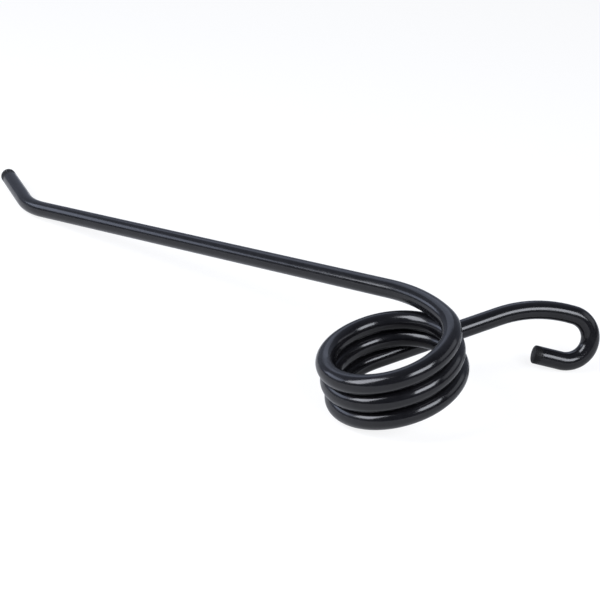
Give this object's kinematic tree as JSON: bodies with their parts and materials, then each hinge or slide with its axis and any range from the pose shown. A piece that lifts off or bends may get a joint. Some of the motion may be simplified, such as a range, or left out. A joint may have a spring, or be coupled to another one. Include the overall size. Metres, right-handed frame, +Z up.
{
  "type": "spring tine",
  "caption": "One-piece coiled spring tine of round wire: a long working leg with a turned-out tip, a close-wound coil and a short arm ending in a hook.",
  "frame": {"origin": "where the coil's axis meets the ground that the tine lies on", "axes": "+Z up, +X along the ground towards the hook in the plane that holds the coil's axis, which leans back 16.7 degrees from +Z towards -X; the long leg runs back towards +Y"},
  "size_m": [0.2685, 0.3415, 0.0481],
  "materials": {
    "black_coated_wire": "gloss"
  },
  "bodies": {
    "root": {"tine": "black_coated_wire"}
  },
  "joints": []
}
